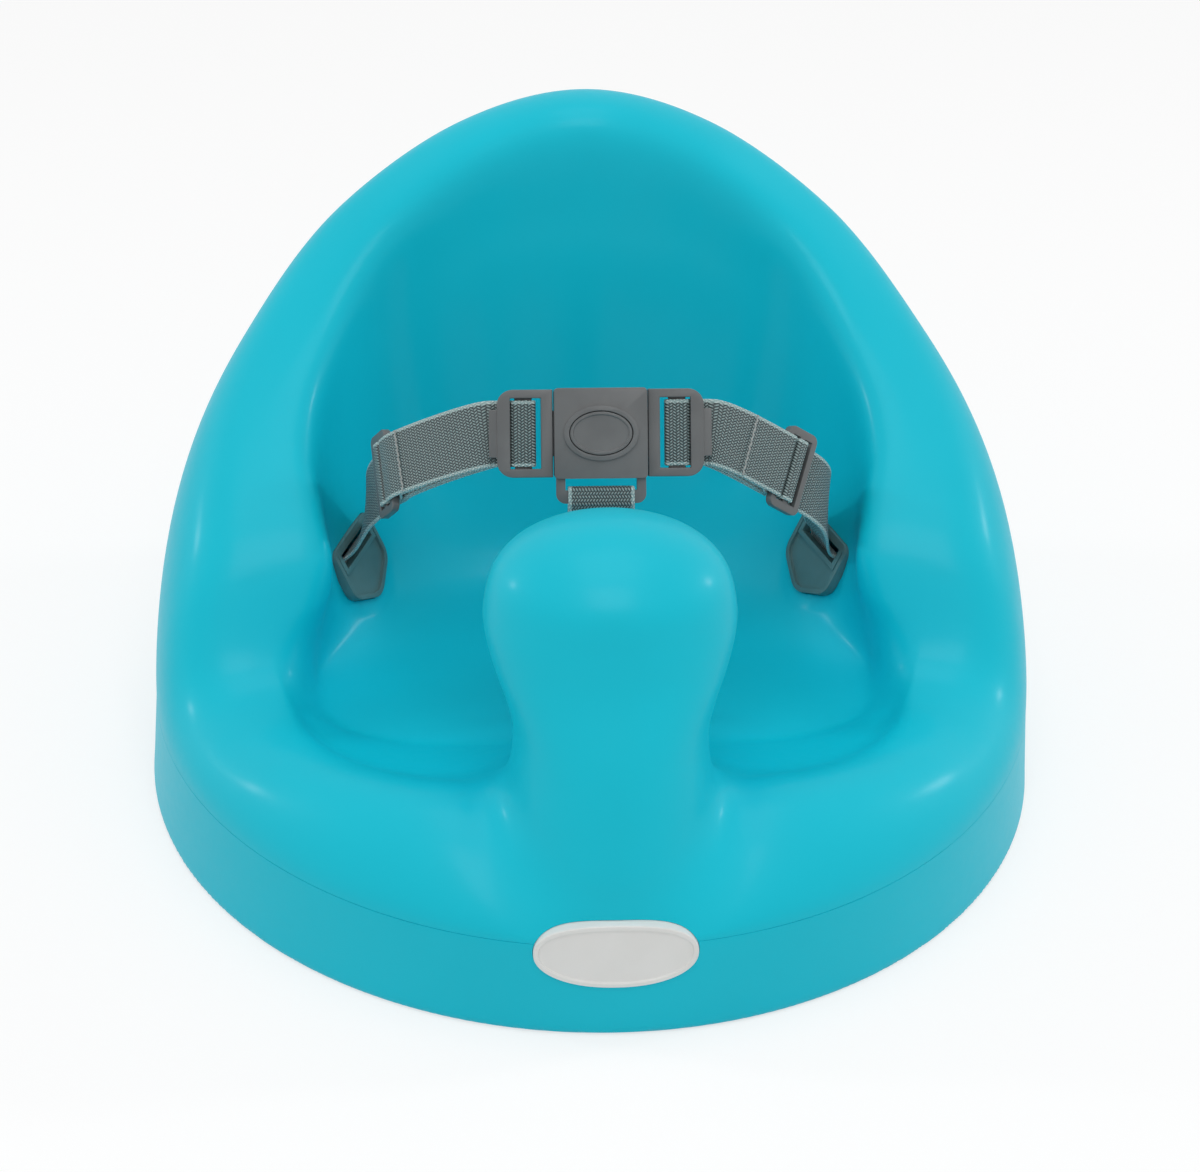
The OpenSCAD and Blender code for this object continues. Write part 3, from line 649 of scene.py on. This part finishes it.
def prism(name, outline, low, high, place):
    """A straight solid over a flat outline, put in place point by point."""
    n = len(outline)
    points = [place((x, y, z)) for z in (low, high) for x, y in outline]
    faces = [tuple(range(n)), tuple(range(n, 2 * n))]
    faces += [(i, (i + 1) % n, n + (i + 1) % n, n + i) for i in range(n)]
    return add_mesh(name, points, faces)


def block(size, middle):
    """The corners of a block."""
    return [np.array(middle) + np.array([i, j, k]) * np.array(size) / 2
            for i in (-1, 1) for j in (-1, 1) for k in (-1, 1)]


def hull_of(name, points):
    """The convex solid round some points."""
    obj = add_mesh(name, points, [])
    bm = bmesh.new()
    bm.from_mesh(obj.data)
    bmesh.ops.convex_hull(bm, input=bm.verts)
    bm.to_mesh(obj.data)
    bm.free()
    return obj


def foam_cutters():
    """The plates' seats, the strap channels, the pockets under the seat and the parting line."""
    seat_fit, clear = 0.2, 14
    seat = support_ring(plate_circles, seat_fit)
    tools = []
    for side in (-1, 1):
        def at_anchor(p, side=side):
            return anchor_point(side, p)
        tools.append(prism("seat", seat, -plate_sink, clear - plate_sink, at_anchor))
        mouth = [at_anchor(p) for p in block((slot_l, channel_t, 1), (0, slot_y, -plate_sink))]
        foot = [rod_point(side, p) for p in block((slot_l, channel_t, 1), (0, loop_r - 1, rod_d / 2))]
        tools.append(hull_of("channel", mouth + foot))
    tools.append(prism("seat", seat, -plate_sink, clear - plate_sink, crotch_point))
    mouth = block((slot_l, channel_t, 2), (0, crotch_y, pan_h))
    foot = block((slot_l, channel_t, 2), (0, crotch_y - loop_r + 1, pocket_h - 1))
    tools.append(hull_of("channel", mouth + foot))
    ends = [(x * (pocket_l - pocket_w) / 2, 0, pocket_w / 2) for x in (-1, 1)]
    for side in (-1, 0, 1):
        tools.append(prism("pocket", support_ring(ends, 0, 64), -rod_z - 1, pocket_h - rod_z,
                           lambda p, side=side: rod_point(side, p)))
    tools.append(badge_form("badge_seat", [(-seat_fit, 9), (-seat_fit, -badge_deep - seat_fit)]))
    turns, deep, past, half, flare = 360, 0.5, 2, 0.45, 0.4
    ring = [(base_r - deep, band_h), (base_r + past, band_h - half - flare),
            (base_r + past, band_h + half + flare)]
    points = [(r * math.sin(2 * math.pi * i / turns), -r * math.cos(2 * math.pi * i / turns), z)
              for i in range(turns) for r, z in ring]
    tools.append(add_mesh("parting", points, grid_faces(turns, 3, True, True)))
    return tools


# ---- Badge plate -----------------------------------------------------------------

badge_deep = 4
badge_lean = 1.2


def band_face(z):
    """Radius of the face that the oval plate follows, at height z."""
    top = badge_z + badge_h / 2 + 2
    draft = band_draft * max(0, 1 - z / band_h)
    return base_r + draft - badge_lean * max(0, (z - band_h) / (top - band_h))


def squared(v):
    """Cosine or sine, for an oval that is fuller at its corners than an ellipse."""
    return math.copysign(abs(v) ** 0.88, v)


def badge_form(name, profile, material=None, around=144, rings=10):
    """An oval piece on the band: profile gives (inset, height over the band's face),
    front first. Its back is upright."""
    turn = 2 * np.pi * np.arange(around) / around

    def place(x, z, up):
        r = band_face(z) + up if up > -badge_deep else base_r - badge_lean + up
        return (x, -math.sqrt(r * r - x * x), z)
    points = []
    levels = [(profile[0][0], profile[0][1], k / rings) for k in range(1, rings)]
    levels += [(inset, up, 1) for inset, up in profile]
    levels += [(profile[-1][0], profile[-1][1], 1 - k / rings) for k in range(1, rings)]
    for inset, up, k in levels:
        for a in turn:
            x = (badge_w / 2 - inset) * k * squared(math.cos(a))
            z = badge_z + (badge_h / 2 - inset) * k * squared(math.sin(a))
            points.append(place(x, z, up))
    faces = grid_faces(len(levels), around, closed_columns=True)
    n = len(points)
    points += [place(0, badge_z, profile[0][1]), place(0, badge_z, profile[-1][1])]
    last = (len(levels) - 1) * around
    for k in range(around):
        j = (k + 1) % around
        faces.append((n, k, j))
        faces.append((n + 1, last + j, last + k))
    return add_mesh(name, points, faces, material)


def make_badge():
    """A bare oval plate: raised rounded rim round a plain field."""
    rim, field, round_r = 2.1, 0.8, 0.5
    rounding = [(round_r * (1 - math.cos(q)), round_r * (1 - math.sin(q)))
                for q in np.radians(np.linspace(0, 90, 6))]
    profile = [(rim + 0.35, badge_proud - field), (rim + 0.05, badge_proud - field + 0.06)]
    profile += [(rim - 0.1 - a, badge_proud - b) for a, b in rounding]
    profile += [(b, badge_proud - a) for a, b in rounding]
    profile += [(0, -0.5), (0, -badge_deep)]
    badge = add_piece(badge_form("badge_shell", profile, BADGE), "seat", "badge", "badge_plate")
    outward(badge)
    badge.data.shade_smooth()
    badge.data.set_sharp_from_angle(angle=math.radians(50))


# ---- Webbing -----------------------------------------------------------------------

frame_in = buckle_w / 2 + 0.5
frame_out = frame_in + tongue_w
open_out = frame_out - 5
open_in = frame_in + 4.4
roll_gap = web_t + 2 * soft_fit
mid_out = open_out - roll_gap
mid_in = open_in + roll_gap + 1.6
frame_z = -2.2
slider_l = 3 * slider_bar + 2 * slider_gap
slider_t = 3
slider_zone = slider_l + 4
mid_top = 2.6
under_lip = 1.6
bar_top = slider_t / 2
bar_x = slider_l / 2 - slider_bar
bar_c = slider_bar / 2
layer = web_t + soft_fit
top_h = bar_top + bend
low_h = -top_h - web_t - soft_fit
loop_slot = 4.4
loop_bar = 5
loop_y = -buckle_h / 2 - loop_slot - loop_bar
loop_back = 0.6
loop_front = 4.2
up_buckle = np.array([0, *heading(buckle_tilt)[::-1]])
side_name = {-1: "left", 1: "right"}
seam_at = {-1: 1.80, 1: 1.53}


def across(direction, v):
    """The part of v that is square to the direction, of length 1."""
    return unit(v - direction * np.dot(direction, v))


def strap_dir(side):
    return unit(slider_dir[side])


def strap_up(side):
    return across(strap_dir(side), up_buckle)


def slot_point(side):
    """The middle of a waist plate's slot."""
    return anchor_point(side, [0, slot_y, plate_t / 2 - plate_sink])


def spine(side, s):
    """The middle of a waist strap: 0 to 1 in the tongue, 1 to 2 the run, 2 to 3 in the
    slider, 3 to 4 the drop to the plate, 4 to 5 through the foam."""
    tongue = from_buckle([side * (frame_out + 2), 0, frame_z])
    d = strap_dir(side)
    near = slider_at[side] - d * slider_zone / 2
    far = slider_at[side] + d * slider_zone / 2
    slot = slot_point(side)
    if s < 1:
        return from_buckle([side * (open_out + (frame_out + 2 - open_out) * s), 0, frame_z])
    if s < 2:
        return bezier([tongue, tongue + np.array([side * 6, 0, 0]), near - d * 8, near], s - 1)
    if s < 3:
        return near + (far - near) * (s - 2)
    if s < 4:
        out = np.array([side * anchor_z[0], anchor_z[1], anchor_z[2] + 0.6])
        return bezier([far, far + d * 30, slot + out * 10, slot], s - 3)
    return slot + (rod_place(side, rod_loop(slot_run(side))[0]) - slot) * (s - 4)


def spine_up(side, s):
    """The direction of the strap's width at place s."""
    level = np.array([-side * anchor_x[0], -anchor_x[1], 0])
    t = s - 3
    if s < 1:
        return up_buckle
    if s < 2:
        return up_buckle + (strap_up(side) - up_buckle) * (s - 1)
    if s < 3:
        return strap_up(side)
    if s < 4:
        return strap_up(side) + (level - strap_up(side)) * t * t * (3 - 2 * t)
    return level


def on_spine(side, p):
    """The point at place p[0] of the spine and p[1] in front of it, and the strap's width there."""
    d = unit(spine(side, p[0] + 0.02) - spine(side, p[0] - 0.02))
    out = side * np.cross(d, across(d, spine_up(side, p[0])))
    return spine(side, p[0]) + out * p[1], spine_up(side, p[0])


def spine_place(side, s):
    return tuple(spine(side, s) * MM)


def rod_loop(run, count=36):
    """The turn round a rod of webbing that comes along run, as (out, up) from the rod."""
    down = math.degrees(math.atan2(-run[1], run[0]))
    turn = np.radians(270 - down + 195 * np.arange(count + 1) / count)
    return [loop_r * np.array([math.cos(q), math.sin(q)]) for q in turn]


def slot_run(side):
    """The way from a waist plate's slot to its rod, as (out, up)."""
    p = slot_point(side)
    return rod_r - math.hypot(p[0], p[1]), rod_z - p[2]


def rod_place(side, q):
    """A place beside a rod, q being (out, up) from its middle."""
    return rod_at[side] + np.array([side * anchor_s, -anchor_c, 0]) * q[0] + np.array([0, 0, q[1]])


def arc(x, h, start, end, count=9):
    """The turn of webbing round an edge at (x, h)."""
    turn = np.radians(np.linspace(start, end, count))
    return [(x + bend * math.cos(q), h + bend * math.sin(q)) for q in turn]


def even_path(points, ups, step=1.0):
    """A smooth path through the points, at even steps, with its width directions."""
    points, ups = np.array(points, float), np.array(ups, float)
    run = np.concatenate([[0], np.cumsum(np.linalg.norm(np.diff(points, axis=0), axis=1))])
    keep = np.concatenate([[True], np.diff(run) > 1e-6])
    points, ups, run = points[keep], ups[keep], run[keep]
    at = [run[0]]
    for a, b in zip(run[:-1], run[1:]):
        n = max(1, math.ceil((b - a) / step))
        at += list(a + (b - a) * np.arange(1, n + 1) / n)
    at = np.array(at)

    def spread(values):
        return np.column_stack([np.interp(at, run, values[:, k]) for k in range(3)])
    return spread(points), spread(ups), at


def ribbon(name, path, ups):
    """Webbing along a path, with rounded selvedges. UVs are in millimetres: along, across."""
    path, ups, at = even_path(path, ups)
    half, thick = web_w / 2, web_t / 2
    flat = np.linspace(-half + thick, half - thick, 15)
    turn = np.radians(np.linspace(90, -90, 7))[1:-1]
    section = [(v, thick) for v in flat]
    section += [(half - thick + thick * math.cos(q), thick * math.sin(q)) for q in turn]
    section += [(v, -thick) for v in flat[::-1]]
    section += [(-half + thick - thick * math.cos(q), -thick * math.sin(q)) for q in turn]
    points, along = [], []
    for i in range(len(path)):
        d = unit(path[min(i + 1, len(path) - 1)] - path[max(i - 1, 0)])
        w = across(d, ups[i])
        h = unit(np.cross(d, w))
        points += [path[i] + w * v + h * z for v, z in section]
        along += [(at[i], v) for v, z in section]
    obj = add_mesh(name, points, tube_faces(len(path), len(section)), WEBBING)
    uv = obj.data.uv_layers.new(name="along")
    for loop in obj.data.loops:
        uv.data[loop.index].uv = along[loop.vertex_index]
    outward(obj)
    obj.data.set_sharp_from_angle(angle=math.radians(60))
    return obj


def in_tongue(p):
    """A place in a tongue's frame, (x, height), as a place on the spine."""
    return (p[0] - open_out) / (frame_out + 2 - open_out), p[1]


def in_slider(p):
    """A place in a slider's frame, (x, height), as a place on the spine."""
    return 2.5 + p[0] / slider_zone, p[1]


def waist_webbing(side):
    """The loop between tongue and slider, and the run from the slider to the rod."""
    name = side_name[side]
    steps = 24
    places = [in_slider(p) for p in [(-bar_x - 12, top_h - layer), (-bar_x - 7, top_h - layer),
                                     (-bar_x - slider_bar - 0.6, -0.6 - bar_top),
                                     (-bar_x - slider_bar + 0.6, -top_h)]]
    places += [in_slider(p) for p in arc(-bar_x, -bar_top, -90, 0) + arc(-bar_x, bar_top, 0, 90)]
    places += [(2 - i / steps, top_h + (under_lip - bend - top_h) * i / steps) for i in range(steps)]
    places += [in_tongue(p) for p in arc(open_out, under_lip, 270, 180) + arc(mid_out, mid_top, 0, 90)
               + arc(mid_in, mid_top, 90, 180) + arc(mid_in, 0, 180, 270)]
    places += [(1 + i / steps, -bend + (low_h + bend) * i / steps) for i in range(steps + 1)]
    places += [in_slider(p) for p in arc(-bar_c - 2 * bend, low_h + bend, -90, 0)
               + arc(-bar_c, bar_top, 180, 90) + arc(bar_c, bar_top, 90, 0)
               + arc(bar_c + 2 * bend, -bar_top, 180, 270)]
    places += [in_slider((bar_x + slider_bar - 0.3, -top_h))]
    loop = ribbon("waist_loop_" + name, *zip(*[on_spine(side, p) for p in places]))
    under, tail_from, tail_span = 1.3, 1.12, 0.88
    places = [(tail_from + tail_span * i / steps, low_h - under) for i in range(steps + 1)]
    places += [in_slider((-bar_c - 2 * bend - 2, low_h - under)),
               in_slider((bar_c + 2 * bend, -top_h - under)),
               in_slider((bar_x + slider_bar, -top_h - under))]
    steps, settle = 48, 16
    places += [(3 + i / steps, -top_h * (1 - i / steps)
                - under * max(0, 1 - i / settle) ** 2 * (1 + 2 * i / settle)) for i in range(1, steps)]
    places += [(4, 0), (4.5, 0)]
    rod_end = [(rod_place(side, q), spine_up(side, 5)) for q in rod_loop(slot_run(side))]
    run = ribbon("waist_run_" + name, *zip(*[on_spine(side, p) for p in places], *rod_end))
    spine_place(side, 1.05)
    spine_place(side, 2)
    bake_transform(loop)
    spine_place(side, 3.9)
    spine_place(side, 3.02)
    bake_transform(run)
    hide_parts("waist_strap_" + name)


def seam(side):
    """A row of stitches across a waist strap, on the ridge of the layer sewn under it."""
    name = side_name[side]
    s = seam_at[side]
    half, pitch, thick = web_w / 2 - 0.4, 1.9, 0.34
    steps, sides = 120, 8
    d = unit(spine(side, s + 0.02) - spine(side, s - 0.02))
    points = []
    for i in range(steps + 1):
        v = -half + 2 * half * i / steps
        hump = math.sin(math.pi * (v + half) / pitch) ** 2
        wander = 0.004 * math.sin(v * 2.1)
        middle, up = on_spine(side, (s + wander, top_h + web_t / 2 + 0.12 + 0.16 * hump))
        w = across(d, up)
        out = side * np.cross(d, w)
        wide = thick * (0.75 + 0.35 * hump)
        points += [middle + w * v + (d * math.cos(q) * 1.3 + out * math.sin(q)) * wide
                   for q in 2 * np.pi * np.arange(sides) / sides]
    thread = add_mesh("seam_" + name, points, tube_faces(steps + 1, sides), THREAD)
    outward(thread)
    spine_place(side, 1.05)
    spine_place(side, 2)
    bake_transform(thread)


def crotch_webbing():
    """The strap from its rod through the plate on the pan, and round the buckle's bar."""
    steps = 48

    def beside(y, z):
        return from_buckle([0, y, z])
    pan = np.array([0, crotch_y, pan_h + plate_t / 2 - plate_sink])
    bottom = beside(loop_y, loop_front + bend)
    pull = np.linalg.norm(bottom - pan) * 0.4
    curve = [pan, pan + np.array([0, 0, pull]), bottom - np.array([0, -2, pull * 0.85]), bottom]
    path = [rod_at[0] + np.array([0, q[0], q[1]]) for q in reversed(rod_loop((0, rod_z - pan[2])))]
    path += [bezier(curve, i / steps) for i in range(steps + 1)]
    high = loop_y + loop_bar
    path += [beside(y, z) for y, z in arc(high, loop_front, 90, 0) + arc(high, loop_back, 0, -90)]
    tail = beside(loop_y, loop_back - bend)
    end = bezier(curve, 0.86) + np.array([0, web_t + soft_fit + 0.6, 0])
    path += [tail, tail + np.array([0, -1, -5]), end]
    strap = ribbon("crotch_webbing", path, [(1, 0, 0)] * len(path))
    add_piece(strap, "seat", "webbing", "crotch_strap")


# ---- Hard pieces of the harness -----------------------------------------------------

button_top = 6.7
button_press = 1.6
blade_t = 2.2
button_deep = button_top - blade_t / 2 - fit - button_press - 0.3
buckle_back_t = 5
shell_wall = 1.8


def add_piece(obj, body, slot, *replaced):
    """Says what a rigid piece rides on and which solids it stands for. Its slot is not used."""
    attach(obj, body)
    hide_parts(*replaced)
    return obj


def dress(obj, material):
    obj.data.materials.clear()
    obj.data.materials.append(material)


def bevelled(node, material):
    """A copy of a CAD piece with rounded edges."""
    obj = bpy.data.objects.new(node + "_moulded", nodes[node].data.copy())
    scene.collection.objects.link(obj)
    bm = bmesh.new()
    bm.from_mesh(obj.data)
    bmesh.ops.remove_doubles(bm, verts=bm.verts, dist=0.002 * MM)
    bmesh.ops.dissolve_limit(bm, angle_limit=math.radians(0.6), verts=bm.verts, edges=bm.edges)
    bm.to_mesh(obj.data)
    bm.free()
    obj.data.shade_smooth()
    step = obj.modifiers.new("bevel", "BEVEL")
    step.width = 0.6 * MM
    step.segments = 3
    step.limit_method = "ANGLE"
    step.angle_limit = math.radians(32)
    step.harden_normals = True
    step.use_clamp_overlap = True
    applied(obj)
    dress(obj, material)
    return obj


def make_spring():
    """The button's coil spring, of round wire."""
    size, wire, turns, per_turn, sides = 7.6, 0.7, 5, 40, 10
    low = -buckle_back_t + shell_wall + wire / 2 + 0.1
    high = button_top - button_deep + 1.4 - wire / 2 - 0.1
    count = turns * per_turn
    points = []
    for i in range(count + 1):
        a = 2 * math.pi * i / per_turn
        out = np.array([math.cos(a), math.sin(a), 0])
        middle = np.array([size / 2 * out[0], size / 2 * out[1], low + (high - low) * i / count])
        for q in 2 * np.pi * np.arange(sides) / sides:
            p = middle + (out * math.cos(q) + np.array([0, 0, 1]) * math.sin(q)) * wire / 2
            points.append(from_buckle(p))
    spring = add_mesh("button_coil", points, tube_faces(count + 1, sides), STEEL)
    outward(spring)
    add_piece(spring, "seat", "steel", "button_spring")
    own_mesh(spring)


# ---- Camera, lights and floor ------------------------------------------------------

def place_camera():
    """The photograph's camera, as fitted to the seat's outlines."""
    target = Vector((2.4, 0, 80.6)) * MM
    distance, height, yaw, roll = 1.3, math.radians(33), math.radians(-3.8), math.radians(1.4)
    focal, width = 3274, 1200
    level = math.cos(height)
    back = Vector((math.sin(yaw) * level, -math.cos(yaw) * level, math.sin(height)))
    right = Vector((math.cos(yaw), math.sin(yaw), 0))
    up = back.cross(right)
    rightward = right * math.cos(roll) + up * math.sin(roll)
    upward = up * math.cos(roll) - right * math.sin(roll)
    data = bpy.data.cameras.new("camera")
    data.sensor_width = 36
    data.lens = focal / width * data.sensor_width
    data.clip_start, data.clip_end = 0.05, 50
    camera = bpy.data.objects.new("camera", data)
    turn = Matrix((rightward, upward, back)).transposed().to_4x4()
    camera.matrix_world = Matrix.Translation(target + back * distance) @ turn
    scene.collection.objects.link(camera)
    scene.camera = camera


def softbox(name, place, size, power):
    """A square area light aimed at the middle of the seat."""
    aim = Vector((0, 0, 0.09))
    data = bpy.data.lights.new(name, "AREA")
    data.shape, data.size, data.energy = "SQUARE", size, power
    lamp = bpy.data.objects.new(name, data)
    lamp.location = place
    lamp.rotation_euler = (aim - Vector(place)).to_track_quat("-Z", "Y").to_euler()
    scene.collection.objects.link(lamp)


floor_white = 0.85
floor_shade = 0.4
floor_glow = 0.645
world_fill = 0.53


def make_floor():
    """A pale floor, which glows to the camera and to what shines until it is white."""
    m = Nodes("pale_floor")
    path = m.node("ShaderNodeLightPath")
    seen = m.math("MAXIMUM", path.outputs["Is Camera Ray"], path.outputs["Is Glossy Ray"])
    seen = m.math("MAXIMUM", seen, path.outputs["Is Transmission Ray"])
    lit = m.math("SUBTRACT", floor_white, m.math("MULTIPLY", seen, floor_white - floor_shade))
    pale = m.node("ShaderNodeCombineColor", {0: lit, 1: lit, 2: lit}).outputs[0]
    diffuse = m.node("ShaderNodeBsdfDiffuse", {"Color": pale})
    strength = m.math("MULTIPLY", seen, floor_glow)
    glow = m.node("ShaderNodeEmission", {"Color": (1, 1, 1, 1), "Strength": strength})
    both = m.node("ShaderNodeAddShader", {0: diffuse.outputs[0], 1: glow.outputs[0]})
    m.put(m.out.inputs[0], both.outputs[0])
    half = 9000
    corners = [(-half, -half, 0), (half, -half, 0), (half, half, 0), (-half, half, 0)]
    floor = add_mesh("floor", corners, [(0, 1, 2, 3)], m.material)


def make_world():
    """White to the camera and to what shines, a plain even fill to everything else."""
    world = bpy.data.worlds.new("studio")
    scene.world = world
    world.use_nodes = True
    tree = world.node_tree
    tree.nodes.clear()
    path = tree.nodes.new("ShaderNodeLightPath")
    background = tree.nodes.new("ShaderNodeBackground")
    background.inputs[0].default_value = (1, 1, 1, 1)
    seen = path.outputs["Is Camera Ray"]
    for ray in ("Is Glossy Ray", "Is Transmission Ray"):
        either = tree.nodes.new("ShaderNodeMath")
        either.operation = "MAXIMUM"
        tree.links.new(seen, either.inputs[0])
        tree.links.new(path.outputs[ray], either.inputs[1])
        seen = either.outputs[0]
    strength = tree.nodes.new("ShaderNodeMapRange")
    strength.inputs["To Min"].default_value = world_fill
    strength.inputs["To Max"].default_value = 1.0
    tree.links.new(seen, strength.inputs["Value"])
    tree.links.new(strength.outputs[0], background.inputs[1])
    out = tree.nodes.new("ShaderNodeOutputWorld")
    tree.links.new(background.outputs[0], out.inputs[0])


place_camera()
make_floor()
make_world()
softbox("left_softbox", (-1.5, 0.3, 0.8), 0.16, 2.6)
softbox("right_softbox", (1.5, 0.3, 0.8), 0.16, 3)
softbox("front_softbox", (0, -0.95, 1.65), 0.8, 6.3)
softbox("top_softbox", (0, 0.1, 1.9), 1.0, 4)
scene.view_settings.view_transform = "Standard"

foam = make_foam()
dress(foam, FOAM)
add_piece(foam, "seat", "foam", "foam_seat")
make_badge()
for side in (-1, 1):
    waist_webbing(side)
for side in (-1, 1):
    seam(side)
crotch_webbing()
make_spring()

finishes = {"hardware": HARDWARE, "anchor_plate": PLATE_TINTED_BY_PAINTED_BOUNCE, "steel": STEEL}
hard_pieces = [
    ("hardware", "seat", ["buckle_front", "buckle_back"]),
    ("hardware", "button", ["buckle_button"]),
    ("hardware", "tongue_left", ["tongue_left"]),
    ("hardware", "tongue_right", ["tongue_right"]),
    ("hardware", "slider_left", ["slider_left"]),
    ("hardware", "slider_right", ["slider_right"]),
    ("anchor_plate", "seat", ["anchor_plate_left", "anchor_plate_right", "anchor_plate_crotch"]),
    ("steel", "seat", ["retainer_rod_left", "retainer_rod_right", "retainer_rod_crotch"]),
]
for slot, body, names in hard_pieces:
    for name in names:
        add_piece(bevelled(name, finishes[slot]), body, slot, name)
